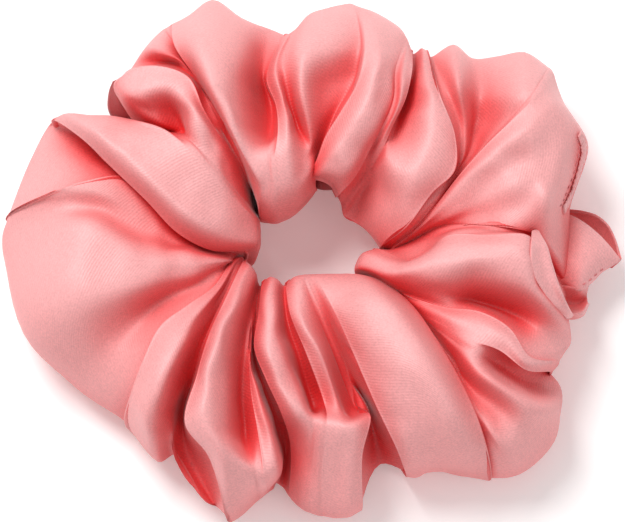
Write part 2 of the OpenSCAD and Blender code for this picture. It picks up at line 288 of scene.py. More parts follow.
    # the curled fold at the lower right
    edge(OVER_LAST, (0.5, 1, 1.5, 1.5, 2, 2, 1), (13, -3.8, 16), (19.3, -7, 21.5), (27, -9.4, 25),
         (34.5, -10.4, 27), (40.5, -13.8, 28), (44.3, -19.3, 27), (51, -20.9, 17)),
    bend((13.3, -4, 16), (20, -8.5, 21.5), (28, -11.8, 27), (34.7, -13.2, 29), (39.6, -16, 29.5),
         (43.6, -20.6, 28), (50, -21.8, 17.5)),
    edge(OVER_NEXT, (0, 0, 0, 0, 4, 8, 5), (13.6, -4.3, 16), (20.4, -9.6, 21), (28.3, -14.2, 26.5),
         (34, -16.7, 29), (38.4, -18.4, 28.5), (43.5, -22.2, 26.5), (49.3, -23.1, 16)),
    bend((14, -4.7, 16), (20.7, -10.4, 20.5), (28.4, -16, 26), (33.5, -19.4, 28.5), (38.3, -21.7, 21),
         (44.3, -25, 16), (51.7, -26, 9)),
    bend((14.3, -5, 16), (21.2, -11.2, 20), (28.5, -17.8, 26), (33.2, -22.2, 29.5), (39, -25.5, 30),
         (45, -29, 27), (52, -31, 13)),
    bend((14.6, -5.2, 15.5), (21.7, -12, 19.5), (28.7, -19.8, 24), (33.2, -26, 24), (38.3, -30, 24),
         (43.5, -33.8, 23), (50, -37.5, 10)),
    bend((14.9, -5.4, 15), (22, -12.8, 19), (29, -21, 22.5), (33.6, -28.5, 24.5), (37.3, -35, 25),
         (40.5, -40, 20), (43, -44, 9)),
    # the wide arching ridge at the lower right
    edge(OVER_LAST, (0.5, 1.5, 1.5, 1.5, 1.5, 1.5, 1), (14.3, -3.8, 18), (20.8, -9.3, 23),
         (26.3, -17.3, 26), (30.3, -24.3, 27), (33.4, -31, 26.5), (35.8, -38, 22), (37.2, -45.4, 9)),
    bend((9.5, -2.8, 22), (15.2, -7.3, 30), (20.7, -15.2, 34), (24.7, -23.3, 35), (28, -31, 32.5),
         (30.5, -38, 25), (31.5, -44.6, 9)),
    bend((5, -2.7, 22), (10, -7.5, 30), (14.8, -15.2, 34), (18.8, -23.2, 34.5), (22.3, -31, 31.5),
         (24.7, -38, 23), (26, -43.5, 9)),
    bend((1.8, -2.8, 22), (5.6, -8.2, 28), (9.3, -16, 30.5), (13, -23.5, 30.5), (16.7, -31, 29),
         (19.8, -38, 24), (21.8, -43.8, 12)),
    edge(OVER_NEXT, (0, 0, 0, 2.5, 6, 9, 8), (0.2, -2.9, 22), (3.6, -8.7, 26.5), (7, -16, 27),
         (10.2, -23.3, 27), (13.6, -31, 26), (17, -38, 22), (19.3, -44, 13)),
    # the deep valley left of it
    bend((-1.2, -3, 22), (1.6, -8.8, 24), (4.9, -16, 22), (8, -23.5, 18.5), (10.8, -29.5, 12), (13, -37, 5),
         (14.5, -42.6, 2.5)),
    edge(OVER_LAST, (0, 0, 0, 0, 6, 9, 6), (-2, -3.1, 22), (0.4, -9.6, 24), (3.7, -17.6, 21),
         (8.6, -29.8, 17), (11.9, -32, 26), (10.3, -39.5, 23), (10.4, -51, 11)),
    # the thin ridge, and the lobe below it
    bend((-2.9, -3.2, 22), (-1.2, -10, 27), (2.4, -18, 26), (7, -31, 20.5), (8.9, -33.2, 28.5),
         (8, -42, 23), (8, -52.3, 11)),
    bend((-3.8, -3.5, 22), (-2.5, -10.5, 29), (1.2, -18.2, 30), (5, -29.5, 26), (6, -33.7, 29),
         (5, -43, 20.5), (5, -53, 8)),
    edge(OVER_NEXT, (2, 3, 4, 5, 0, 0, 0), (-5.6, -5, 20), (-4.6, -11, 26.5), (-1.4, -18.8, 27.5),
         (2.3, -29, 24), (3, -33.2, 28.5), (2, -42.8, 20), (2, -52.8, 8)),
    bend((-6, -5.3, 18), (-5.4, -11.5, 21.5), (-3.2, -18.8, 20.5), (0, -30.2, 17), (0.2, -32.3, 27.5),
         (-0.5, -42, 18.5), (-1, -51.8, 8)),
    bend((-7.5, -3.8, 20), (-7.2, -10.5, 27), (-6, -17.5, 28.5), (-3.6, -24.5, 27.5), (-1.9, -31.3, 28.5),
         (-2.4, -41, 17.5), (-3, -50.5, 8)),
    bend((-9, -3.4, 20), (-9.3, -10.5, 27.5), (-9, -17.5, 30), (-6.7, -24, 30), (-4, -31, 28.5),
         (-3.5, -39.5, 16.5), (-4.2, -49.7, 7)),
    edge(OVER_NEXT, (2, 3, 4, 5, 6, 5, 0), (-10.6, -4.8, 18), (-11.2, -11, 24), (-12, -17.8, 26),
         (-9.7, -24, 26.5), (-6.7, -30.5, 25.5), (-4.6, -38, 16), (-4.9, -48.6, 7)),
]
LINE_POINTS = 7     # points of a fold line
EDGE_LINES = 4      # an edge becomes four lines: near it, itself, its turn and the cloth under it
LINE_STEPS = 5      # columns of the mesh from one fold line to the next
STATION_STEPS = 8   # rows of the mesh from one point of a line to the next
TUCK = 4.5          # how far the cloth goes back under an edge, at most, in mm
CLEAR_GAP = 2.5     # the least gap, in mm, at which an edge lies free over what is under it
FLOOR_CLEARANCE = 0.4 * MM   # more than the thickness of the cloth
OPENING_CENTRE = np.array([0, 5, 0]) * MM


def between(before, start, end, beyond, share):
    """A point on the smooth curve from start to end, given the points on either side."""
    return 0.5 * (2 * start + (end - before) * share
                  + (2 * before - 5 * start + 4 * end - beyond) * share ** 2
                  + (3 * start - before - 3 * end + beyond) * share ** 3)


def tucked_lines(folds):
    """The fold lines, with three more at each edge: near it, its turn and the cloth under it."""
    points = [np.array(line, float) for _, _, line in folds]
    lines = []
    for i, (kind, gaps, _) in enumerate(folds):
        line = points[i]
        if kind == OPEN:
            lines.append(line)
            continue
        way = 1 if kind == OVER_NEXT else -1
        own, other, beyond = (points[(i + k * way) % len(folds)] for k in (-1, 1, 2))
        gap = np.array(gaps, float)[:, None]
        free = np.clip(gap / CLEAR_GAP, 0, 1)
        back = (own - line) * np.array([1, 1, 0])
        length = np.linalg.norm(back, axis=1, keepdims=True)
        back *= np.minimum(TUCK, 0.7 * length) / np.maximum(length, 0.1)
        down = np.array([0, 0, 1]) * gap
        # where the edge lies free the cloth turns back under it, and elsewhere it runs straight on
        turn = (free * (line + back - 0.8 * down)
                + (1 - free) * between(own, line, other, beyond, 1 / 3))
        under = (free * (line + 0.15 * back - 1.1 * down)
                 + (1 - free) * between(own, line, other, beyond, 2 / 3))
        near = line + (own - line) * 0.12
        lines += [near, line, turn, under][::way]
    return np.array(lines)


def seen_to_frame(points):
    """Across, up and height as the camera's side sees them, in mm, to the CAD frame in metres."""
    points = np.array(points, float)
    across, up, height = points[..., 0], points[..., 1], points[..., 2]
    y = (up - (height - AIM.z / MM) * math.cos(ELEVATION)) / math.sin(ELEVATION)
    return np.stack([across, y, height], axis=-1) * MM


def spline_loop(points, steps):
    """A smooth closed curve through points along axis 0, with steps samples per point."""
    after = np.roll(points, -1, 0)
    span = np.maximum(np.linalg.norm(after - points, axis=-1, keepdims=True), 0.1 * MM) ** 0.5
    last_span = np.roll(span, 1, 0)
    slope = (after - points) / span
    speed = (np.roll(slope, 1, 0) * span + slope * last_span) / (span + last_span)
    leave, arrive = speed * span, np.roll(speed, -1, 0) * span
    samples = []
    for k in range(steps):
        t = k / steps
        samples.append(points * (2 * t ** 3 - 3 * t ** 2 + 1) + leave * (t ** 3 - 2 * t ** 2 + t)
                       + after * (3 * t ** 2 - 2 * t ** 3) + arrive * (t ** 3 - t ** 2))
    return np.stack(samples, 1).reshape(-1, *points.shape[1:])


def spline_strip(points, steps):
    """A smooth open curve through points along axis 0, from the first to the last."""
    first = 2 * points[:1] - points[1:2]
    last = 2 * points[-1:] - points[-2:-1]
    curve = spline_loop(np.concatenate([first, points, last, last]), steps)
    return curve[steps:steps * len(points) + 1]


def spread(values):
    """Values round the loop, evened out with their nearest neighbours."""
    return sum(np.roll(values, k, 0) * weight
               for k, weight in zip(range(-3, 4), (1, 2, 3, 4, 3, 2, 1))) / 16


def underside(lines):
    """Carries each fold line on round the underside and up the wall of the opening."""
    wall_in, wall_valley = 1.5 * MM, 1.7   # how far in the outer wall stands, and more in a valley
    foot_in, foot_valley = 8 * MM, 1.3     # the same where it comes down to the floor
    wall_rise, foot_rise = 0.4, 0.06       # the heights of both, as shares of the outer edge's
    low, high = 4 * MM, 12 * MM            # two heights on the wall of the opening
    lean = 0.27                            # how far the wall on the far side leans, per height
    flat = np.array([1, 1, 0])
    rise = lines[:, -1, 2:3]
    lip, outer = lines[:, 0], (spread(lines[:, -1]) + lines[:, -1]) / 2 * flat
    to_lip = (lip - OPENING_CENTRE) * flat
    lip_way = to_lip / np.linalg.norm(to_lip, axis=1, keepdims=True)
    far = np.clip(lip_way[:, 1:2] * 3 + 0.5, 0, 1)   # 1 on the opening's far side
    inward = (lip - outer) * flat
    inward /= np.linalg.norm(inward, axis=1, keepdims=True)
    valley = np.clip(spread(rise) - rise, 0, 5 * MM)   # how far a line lies below its neighbours
    height = spread(rise) * np.array([0, 0, 1])
    behind = np.array([0, 1, 0]) * far                # out of sight behind the lip
    rows = [outer + inward * (wall_in + wall_valley * valley) + height * wall_rise,
            outer + inward * (foot_in + foot_valley * valley) + height * foot_rise,
            (outer * 0.35 + lip * 0.65) * flat + np.array([0, 0, 0.8]) * MM,
            lip * flat + lip_way * 2 * MM + behind * (lip[:, 2:3] - low) * lean
            + np.array([0, 0, low]),
            lip * flat - lip_way * 0.3 * MM + behind * (lip[:, 2:3] - high) * lean
            + np.array([0, 0, high])]
    return np.concatenate([lines, np.stack(rows, 1)], 1)


def casing_grid():
    """The closed grid of the casing: its columns run across the tube, one after another."""
    lines = underside(seen_to_frame(tucked_lines(FOLDS)))
    columns = spline_loop(lines, LINE_STEPS)
    grid = spline_loop(columns.swapaxes(0, 1), STATION_STEPS).swapaxes(0, 1)
    grid[..., 2] = np.maximum(grid[..., 2], FLOOR_CLEARANCE)
    return grid


# ---------------- mesh helpers
def make_piece(name, points, faces):
    mesh = bpy.data.meshes.new(name)
    mesh.from_pydata([tuple(point) for point in points], [], faces)
    mesh.polygons.foreach_set("use_smooth", [True] * len(mesh.polygons))
    piece = bpy.data.objects.new(name, mesh)
    bpy.context.collection.objects.link(piece)
    return piece


def grid_faces(columns, rows, first, round_columns, round_rows):
    """Faces of a grid whose points start at index first, closed round either way or open."""
    return [(first + c * rows + r, first + (c + 1) % columns * rows + r,
             first + (c + 1) % columns * rows + (r + 1) % rows, first + c * rows + (r + 1) % rows)
            for c in range(columns if round_columns else columns - 1)
            for r in range(rows if round_rows else rows - 1)]


def end_faces(rings, sides, first=0):
    """The two faces that close a tube of rings whose points start at index first."""
    return [[first + k for k in range(sides)],
            [first + (rings - 1) * sides + k for k in reversed(range(sides))]]


def join_sheets(points, faces, sheets):
    """Adds the points and faces of open grids to those of a piece."""
    for sheet in sheets:
        faces += grid_faces(*sheet.shape[:2], len(points), False, False)
        points += list(sheet.reshape(-1, 3))


def sheet_grid(rows, steps):
    """A smooth sheet through rows of points as seen, each row running the same way."""
    points = spline_strip(seen_to_frame(rows), steps)
    return spline_strip(points.swapaxes(0, 1), steps)


def facing_up(grid):
    """The same sheet, its rows turned round if need be so that its faces look upward."""
    down, across = np.gradient(grid, axis=0), np.gradient(grid, axis=1)
    return grid if np.cross(down, across)[..., 2].mean() > 0 else grid[:, ::-1]


def tube_rings(path, radii, sides, normals, flatten=1.0):
    """Rings of points round a path, flattened along its normals."""
    path = np.array(path, float)
    along = np.gradient(path, axis=0)
    along /= np.linalg.norm(along, axis=1, keepdims=True)
    across = np.cross(along, normals)
    across /= np.linalg.norm(across, axis=1, keepdims=True)
    upward = np.cross(across, along)
    turn = np.arange(sides) * 2 * math.pi / sides
    return (path[:, None] + np.array(radii)[:, None, None]
            * (np.cos(turn)[None, :, None] * across[:, None]
               + flatten * np.sin(turn)[None, :, None] * upward[:, None]))


def thread_piece(name, stitches, radius):
    """Separate stitches, each from start to end, arched away from the cloth along a normal."""
    sides, rings = 8, 7
    arch, sink, end_width = 1.5, 0.9, 0.35   # in radii: the rise, the ends' depth and their radius
    points, faces = [], []
    shape = np.sin(np.linspace(0, math.pi, rings))
    for start, end, normal in stitches:
        share = np.linspace(0, 1, rings)[:, None]
        path = (1 - share) * np.array(start) + share * np.array(end)
        path = path + np.array(normal) * ((arch * shape - sink) * radius)[:, None]
        radii = radius * (end_width + (1 - end_width) * shape ** 0.5)
        ring_points = tube_rings(path, radii, sides, np.tile(np.array(normal, float), (rings, 1)))
        first = len(points)
        points.extend(ring_points.reshape(-1, 3))
        faces.extend(face[::-1] for face in grid_faces(rings, sides, first, False, True))
        faces += end_faces(rings, sides, first)
    return make_piece(name, points, faces)


def surface_tree(grid, piece=None):
    """A search tree over the casing's closed grid, and over another piece's surface."""
    points = grid.reshape(-1, 3).tolist()
    faces = grid_faces(*grid.shape[:2], 0, True, True)
    if piece:
        faces += [[len(points) + i for i in p.vertices] for p in piece.data.polygons]
        points += [list(v.co) for v in piece.data.vertices]
    return BVHTree.FromPolygons(points, faces)


def seat(tree, across, up):
    """Where the line of sight through a point meets the cloth, and the cloth's normal there."""
    high, low = seen_to_frame([(across, up, 60), (across, up, 0)])
    way = Vector(low - high).normalized()
    place, normal = tree.ray_cast(Vector(high), way)[:2]
    if normal.dot(way) > 0:
        normal = -normal
    return np.array(place), np.array(normal)


def seated_row(tree, line, pitch, length):
    """Stitches along a line as seen, laid on the cloth at an even pitch, in metres."""
    dense = spline_strip(np.array(line, float), 12)
    seats = [seat(tree, across, up) for across, up in dense]
    places = np.array([place for place, _ in seats])
    normals = np.array([normal for _, normal in seats])
    gone = np.concatenate([[0], np.cumsum(np.linalg.norm(np.diff(places, axis=0), axis=1))])

    def along(values, distance):
        return np.array([np.interp(distance, gone, values[:, k]) for k in range(3)])

    stitches = []
    distance = pitch / 2
    while distance + length < gone[-1]:
        normal = along(normals, distance + length / 2)
        normal /= np.linalg.norm(normal)
        stitches.append((along(places, distance), along(places, distance + length), normal))
        distance += pitch
    return stitches


# ---------------- the cloth settles
SETTLE_FRAMES = 14
SPARE_CLOTH = 0.07      # how much more cloth there is than the laid folds take up
HOLD = 0.15             # how firmly the folds stay where they were laid, from 0 to 1
EDGE_HOLD = 0.97        # the same, for the edges that lie over other cloth
SETTLE_CAP = 1.4 * MM   # the farthest that any point may move
SETTLE_EVENING = 6      # rounds of averaging, so that only broad, soft crumples stay


def mesh_points(piece):
    values = np.empty(len(piece.data.vertices) * 3)
    piece.data.vertices.foreach_get("co", values)
    return values.reshape(-1, 3)


def add_hold(piece, columns, rows):
    """Pins the hidden underside, and holds the rest more or less firmly in place."""
    hidden_from = LINE_POINTS * STATION_STEPS
    at_edge = []
    for kind, _, _ in FOLDS:
        at_edge += [False] if kind == OPEN else [True] * EDGE_LINES
    hold = piece.vertex_groups.new(name="hold")
    for column in range(columns):
        share = EDGE_HOLD if at_edge[column // LINE_STEPS] else HOLD
        first = column * rows
        hold.add(list(range(first, first + hidden_from)), share, "REPLACE")
        hold.add(list(range(first + hidden_from, first + rows)), 1.0, "REPLACE")


def settled(grid):
    """The gathered cloth after it has crumpled softly, held near the folds it was laid in."""
    columns, rows = grid.shape[:2]
    piece = make_piece("laid_cloth", grid.reshape(-1, 3),
                       grid_faces(columns, rows, 0, True, True))
    add_hold(piece, columns, rows)
    cloth = piece.modifiers.new("cloth", "CLOTH")
    cloth.settings.vertex_group_mass = "hold"
    cloth.settings.quality = 5
    cloth.settings.mass = 0.1
    cloth.settings.shrink_min = -SPARE_CLOTH
    cloth.settings.bending_stiffness = 0.5
    cloth.settings.effector_weights.gravity = 0.3
    cloth.collision_settings.use_collision = False
    cloth.point_cache.frame_end = SETTLE_FRAMES
    for moment in range(1, SETTLE_FRAMES + 1):
        bpy.context.scene.frame_set(moment)
    result = piece.evaluated_get(bpy.context.evaluated_depsgraph_get())
    move = mesh_points(result) - mesh_points(piece)
    move = np.stack([smoothed(piece, move[:, k], SETTLE_EVENING) for k in range(3)], 1)
    length = np.linalg.norm(move, axis=1, keepdims=True)
    move *= np.minimum(length, SETTLE_CAP) / np.maximum(length, 0.001 * MM)
    bpy.data.objects.remove(piece)
    bpy.context.scene.frame_set(1)
    return grid + move.reshape(grid.shape)


# ---------------- painted shade in the folds and on the sides
RAYS = 24            # directions tested at each point
REACH = 26 * MM      # how far away other cloth still shades a point
RAY_LIFT = 0.3       # how far above the cloth the rays start, in mm
WALL_SHARE = 0.76    # painted shade: how open an upright wall counts, against a level top, so sides come out darker than tops


def openness(piece, tree):
    """How much of the surroundings each point of a piece sees, from 0 in a fold to 1 outside, less on sides
    that face away from the top: the value that picks the painted shade.
    """
    turn = math.pi * (3 - math.sqrt(5))
    pattern = []
    for k in range(RAYS):
        share = (k + 0.5) / RAYS
        side = math.sqrt(share)
        pattern.append(Vector((side * math.cos(k * turn), side * math.sin(k * turn),
                               math.sqrt(1 - share))))
    values = np.ones(len(piece.data.vertices))
    for v in piece.data.vertices:
        spin = v.normal.to_track_quat("Z", "Y")
        start = v.co + v.normal * RAY_LIFT * MM
        clear = 0.0
        for ray in pattern:
            way = spin @ ray
            distance = tree.ray_cast(start, way, REACH)[3]
            if distance is None:
                distance = REACH
            if way.z < 0:
                distance = min(distance, start.z / -way.z)   # the floor shades the cloth too
            clear += distance / REACH
        # painted shade by facing: points that face sideways or down count as less open, so they get darker,
        # redder shades as if lit from above
        upward = max(v.normal.z, 0)
        values[v.index] = clear / RAYS * (WALL_SHARE + (1 - WALL_SHARE) * upward)
    return values


def smoothed(piece, values, rounds):
    """Values at the points of a mesh, averaged with their neighbours a few times."""
    edges = np.array([e.vertices[:] for e in piece.data.edges])
    count = np.bincount(edges.ravel(), minlength=len(values))
    for _ in range(rounds):
        total = np.bincount(edges[:, 0], values[edges[:, 1]], len(values))
        total += np.bincount(edges[:, 1], values[edges[:, 0]], len(values))
        values = (values + total) / (1 + count)
    return values


def add_painted_shade(piece, tree, rounds=3, least=0.0, shares=1.0):
    """Stores the openness that picks the satin's painted shade: from least up, times each point's share."""
    layer = piece.data.attributes.new("openness", "FLOAT", "POINT")
    values = (least + (1 - least) * smoothed(piece, openness(piece, tree), rounds)) * shares
    layer.data.foreach_set("value", values.astype(np.float32))


def add_weave_place(piece, grids):
    """Where each point lies on the flat cloth, in mm, so that the weave follows the folds."""
    places = []
    for grid in grids:
        down = np.linalg.norm(np.diff(grid, axis=1), axis=2) / MM
        across = np.linalg.norm(np.diff(grid, axis=0), axis=2).mean(1) / MM
        place = np.zeros(grid.shape)
        place[1:, :, 0] = np.cumsum(across)[:, None]
        place[:, 1:, 1] = np.cumsum(down, axis=1)
        places.append(place.reshape(-1))
    layer = piece.data.attributes.new("weave_place", "FLOAT_VECTOR", "POINT")
    layer.data.foreach_set("vector", np.concatenate(places).astype(np.float32))


# ---------------- materials
def new_material(name, roughness, specular):
    material = bpy.data.materials.new(name)
    material.use_nodes = True
    shader = material.node_tree.nodes["Principled BSDF"]
    shader.inputs["Roughness"].default_value = roughness
    shader.inputs["Specular IOR Level"].default_value = specular
    return material, shader, material.node_tree.nodes, material.node_tree.links


def add_noise(nodes, links, scale, detail, source):
    texture = nodes.new("ShaderNodeTexNoise")
    texture.inputs["Scale"].default_value = scale
    texture.inputs["Detail"].default_value = detail
    links.new(source, texture.inputs["Vector"])
    return texture.outputs["Fac"]


def add_range(nodes, links, source, low, high):
    """Carries a value from 0 to 1 over to low to high."""
    scaled = nodes.new("ShaderNodeMapRange")
    scaled.inputs["To Min"].default_value = low
    scaled.inputs["To Max"].default_value = high
    links.new(source, scaled.inputs["Value"])
    return scaled.outputs["Result"]


def add_math(nodes, links, operation, first, second):
    node = nodes.new("ShaderNodeMath")
    node.operation = operation
    for slot, source in zip(node.inputs, (first, second)):
        if isinstance(source, float):
            slot.default_value = source
        else:
            links.new(source, slot)
    return node.outputs["Value"]


def add_bump(nodes, links, shader, height, distance, strength):
    bump = nodes.new("ShaderNodeBump")
    bump.inputs["Distance"].default_value = distance
    bump.inputs["Strength"].default_value = strength
    links.new(height, bump.inputs["Height"])
    links.new(bump.outputs["Normal"], shader.inputs["Normal"])


SATIN_PAINTED_SHADES = [            # painted shade, from the bottom of a fold to the open: darker and redder in the folds
    (0.00, (0.22, 0.008, 0.010)),
    (0.10, (0.54, 0.002, 0.003)),
    (0.24, (0.72, 0.018, 0.020)),
    (0.45, (0.79, 0.080, 0.084)),
    (0.64, (0.82, 0.165, 0.167)),
    (0.80, (0.84, 0.275, 0.277)),
    (0.95, (0.86, 0.375, 0.377)),
]


GRAIN_SCALE, GRAIN_TINT = 2400, (0.76, 1.24)   # fine flecks, and how far they darken and lighten
SLUB_SCALE, SLUB_TINT = 420, (0.96, 1.04)      # the same for broader, uneven yarn
TWILL_SCALE, TWILL_TINT = 0.92, (0.976, 1.018)


def satin_material():
    """Salmon satin: a fine diagonal twill with a soft sheen, and painted shade: redder and darker in the
    folds and on the sides.
    """
    material, shader, nodes, links = new_material("salmon_satin", 0.52, 0.75)
    shader.inputs["Sheen Weight"].default_value = 0.3
    shader.inputs["Sheen Roughness"].default_value = 0.4
    shader.inputs["Sheen Tint"].default_value = (1, 0.85, 0.85, 1)

    # the painted shade: each point's stored openness picks its base colour from the painted shades
    depth = nodes.new("ShaderNodeAttribute")
    depth.attribute_name = "openness"
    ramp = nodes.new("ShaderNodeValToRGB")
    stops = ramp.color_ramp.elements
    for stop, (place, colour) in zip(stops, (SATIN_PAINTED_SHADES[0], SATIN_PAINTED_SHADES[-1])):
        stop.position, stop.color = place, (*colour, 1)
    for place, colour in SATIN_PAINTED_SHADES[1:-1]:
        stops.new(place).color = (*colour, 1)
    links.new(depth.outputs["Fac"], ramp.inputs["Fac"])

    flat = nodes.new("ShaderNodeAttribute")
    flat.attribute_name = "weave_place"
    twill = nodes.new("ShaderNodeTexWave")
    twill.bands_direction = "DIAGONAL"
    twill.inputs["Scale"].default_value = TWILL_SCALE
    twill.inputs["Distortion"].default_value = 1.5
    twill.inputs["Detail"].default_value = 1.0
    links.new(flat.outputs["Vector"], twill.inputs["Vector"])
    place = nodes.new("ShaderNodeTexCoord").outputs["Object"]
    grain = add_noise(nodes, links, GRAIN_SCALE, 2.0, place)
    slub = add_noise(nodes, links, SLUB_SCALE, 2.0, place)

    tint = add_math(nodes, links, "MULTIPLY",
                    add_range(nodes, links, grain, *GRAIN_TINT),
                    add_range(nodes, links, slub, *SLUB_TINT))
    tint = add_math(nodes, links, "MULTIPLY", tint,
                    add_range(nodes, links, twill.outputs["Fac"], *TWILL_TINT))
    shade = nodes.new("ShaderNodeVectorMath")
    shade.operation = "SCALE"
    links.new(ramp.outputs["Color"], shade.inputs[0])
    links.new(tint, shade.inputs["Scale"])
    links.new(shade.outputs["Vector"], shader.inputs["Base Color"])

    height = add_math(nodes, links, "ADD", twill.outputs["Fac"],
                      add_range(nodes, links, grain, 0.0, 1.6))
    add_bump(nodes, links, shader, height, 0.00005, 0.6)
    return material


def thread_material():
    """Spun polyester sewing thread, a little darker than the satin, with its twist."""
    material, shader, nodes, links = new_material("pink_thread", 0.6, 0.3)
    shader.inputs["Sheen Weight"].default_value = 0.2
    place = nodes.new("ShaderNodeTexCoord").outputs["Object"]
    twist = nodes.new("ShaderNodeTexWave")
    twist.bands_direction = "DIAGONAL"
    twist.inputs["Scale"].default_value = 1500
    twist.inputs["Distortion"].default_value = 1.0
    links.new(place, twist.inputs["Vector"])
    ramp = nodes.new("ShaderNodeValToRGB")
    ramp.color_ramp.elements[0].color = (0.60, 0.13, 0.14, 1)
    ramp.color_ramp.elements[1].color = (0.80, 0.29, 0.30, 1)
    links.new(twist.outputs["Fac"], ramp.inputs["Fac"])
    links.new(ramp.outputs["Color"], shader.inputs["Base Color"])
    add_bump(nodes, links, shader, twist.outputs["Fac"], 0.00006, 0.8)
    return material


def elastic_material():
    """White braided elastic: rubber strands under a polyester braid, dulled in its grooves."""
    material, shader, nodes, links = new_material("white_elastic", 0.7, 0.25)
    shader.inputs["Sheen Weight"].default_value = 0.25
    place = nodes.new("ShaderNodeTexCoord").outputs["Object"]
    braid = nodes.new("ShaderNodeTexVoronoi")
    braid.inputs["Scale"].default_value = 1600
    links.new(place, braid.inputs["Vector"])
    ramp = nodes.new("ShaderNodeValToRGB")
    ramp.color_ramp.elements[0].color = (0.86, 0.84, 0.80, 1)
    ramp.color_ramp.elements[1].color = (0.68, 0.65, 0.60, 1)
    links.new(braid.outputs["Distance"], ramp.inputs["Fac"])
    links.new(ramp.outputs["Color"], shader.inputs["Base Color"])
    add_bump(nodes, links, shader, braid.outputs["Distance"], 0.00015, 0.7)
    return material


# ---------------- casing, closing hem and its flap
# Rows of the loose flap, as seen: its front layer, then the back layer with its rolled rim
FLAP_FRONT = [
    [(50, 10.6, 12), (54, 9.8, 13.6), (57, 8.2, 14.2), (60, 5.8, 13.8), (62.5, 3.2, 12.8),
     (64.9, 0.3, 11)],
    [(50, 7.5, 13), (54, 7.4, 14.6), (57, 6.2, 15.2), (60, 4.2, 14.6), (62.3, 2.2, 13.2), (64.7, 0, 11)],
    [(50, 3.5, 13), (54, 3.5, 15), (57, 3, 15.8), (59.5, 2, 15.2), (61.7, 0.8, 13.4), (64, -0.5, 10.8)],
    [(50, -0.5, 13), (53.8, -0.5, 15), (56.5, -0.5, 15.6), (58.8, -0.5, 14.8), (60.8, -1, 12.8),
     (62.6, -1.4, 10.6)],
    [(50.5, -3.5, 12.5), (53.9, -3.8, 14.2), (56, -3.8, 14.6), (57.8, -3.3, 13.8), (59.3, -3, 12.4),
     (60.8, -2.6, 10.4)],
    [(52, -5.2, 12), (54.2, -5.6, 13.4), (55.6, -6.4, 13.2), (57, -5.9, 12.8), (58.4, -4.9, 11.6),
     (59.5, -4, 10)],
]
FLAP_BACK = [
    [(53, 10.4, 6.5), (57, 10.2, 8.2), (60, 9.3, 9), (62.3, 7.4, 9.2), (63.8, 4.9, 9.4), (64.9, 0.5, 10)],
    [(53, 10.9, 8), (57, 10.5, 9.6), (60, 9.6, 10.4), (62.3, 7.6, 10.6), (63.7, 4.9, 10.6),
     (64.9, 0.5, 10.6)],
    [(53, 10.3, 7), (57, 9.4, 7.8), (60, 8, 8.2), (61.9, 6.2, 8.4), (63.2, 3.8, 9), (64.8, 0.3, 10.4)],
    [(52, 8.5, 5.5), (56.5, 7.2, 6), (59.5, 5.4, 6.2), (61.3, 3.9, 6.8), (62.8, 2, 8), (64.6, 0, 10)],
    [(52, 0, 5.5), (56, 0, 6), (58, -0.2, 6.2), (59.5, -0.6, 6.8), (61, -1, 7.8), (63, -1.4, 9.4)],
]
# The cuff's rolled end, from its crisp rim over to the tuck below, and the small cup under it
CUFF_ROLL = [
    [(45.4, 6.3, 29), (44.9, 3, 32.6), (44.9, 0, 32.8), (45.6, -3, 31.6), (47.3, -6, 29.4),
     (49.8, -9.3, 26), (52.9, -12.1, 20)],
    [(46.2, 6.5, 28), (46.7, 3.5, 30.6), (47.2, 0, 30.6), (48.2, -3.5, 29.4), (49.9, -6.8, 27.4),
     (51.7, -9.8, 24.6), (53.7, -11.9, 19)],
    [(46.9, 6.2, 27), (48.4, 3, 29.4), (49.3, -0.5, 29.6), (50.4, -4, 28.8), (51.7, -7.3, 27),
     (53.1, -9.8, 23.5), (54.4, -11.3, 17)],
    [(46.5, 5.8, 22), (47.5, 2.5, 22), (48.4, -1, 22), (49.5, -4.5, 22), (51, -7.5, 20.5),
     (52.5, -9.8, 18), (54, -11.2, 14)],
]
CUP = [
    [(51, -5, 13), (53.5, -5.4, 14), (56, -5.8, 13.5), (58, -5.2, 12)],
    [(51.5, -8.6, 10.5), (54, -8.8, 9), (56, -8.8, 9), (57.6, -7.6, 10)],
    [(52, -11, 14), (54.5, -11.1, 14), (56.4, -10.6, 13.5), (57.7, -8.8, 12.5)],
    [(52.5, -12, 12), (54.6, -12.2, 12), (56.8, -11.5, 11.5), (58.2, -9, 10.5)],
    [(52, -11.5, 5), (54.5, -11.8, 5), (56.5, -11, 5), (57.8, -8.6, 5)],
]
HEM_LINE = [(55.4, 26.5), (56.3, 24.6), (56.5, 22.4), (55.9, 20), (55.2, 17.6), (54.4, 15),
            (53.4, 12.6), (52.2, 10.6)]
HEM_INNER = [(54.6, 26), (55.5, 24.4), (55.6, 22.4), (55, 20), (54.3, 17.7), (53.4, 15.2),
             (52.4, 12.8), (51.2, 10.8)]
HOOD_BACK = [               # the layer under the hood's open end, as seen, its colour painted dark as shadow
    [(-34.5, 28.3, 17), (-38.5, 28.6, 15), (-42.2, 29.6, 12)],
    [(-35, 31, 18), (-39.5, 31.3, 16), (-43.4, 32.3, 13)],
    [(-36.5, 34, 19), (-40.5, 34.8, 17), (-43.2, 35.8, 14)],
    [(-38.5, 38, 20), (-40.9, 38.4, 18), (-42.3, 38, 16)],
]
TIP_BACK = [                # the layer under the curled tip at the opening, its colour painted dark as shadow
    [(-1.4, 18.8, 18), (1.8, 18.8, 19), (5.4, 17.6, 19)],
    [(-0.8, 17.1, 16), (2, 16.8, 17), (5.1, 16.2, 17)],
    [(0.5, 15.3, 13), (2.2, 14.9, 14), (4.4, 14.9, 14)],
]
# painted shadow: the two layers keep only this share of their openness, so they take the darkest painted
# shades
PAINTED_SHADOW_SHARE = 0.05           # how much of their openness those layers keep
SHEET_STEPS = 7             # rows and columns of mesh from one of these points to the next
FLAP_HEM_LINE = [(55.6, -5.3), (57, -4.8), (58.6, -3.6), (60, -2.4), (61.8, -1.1)]


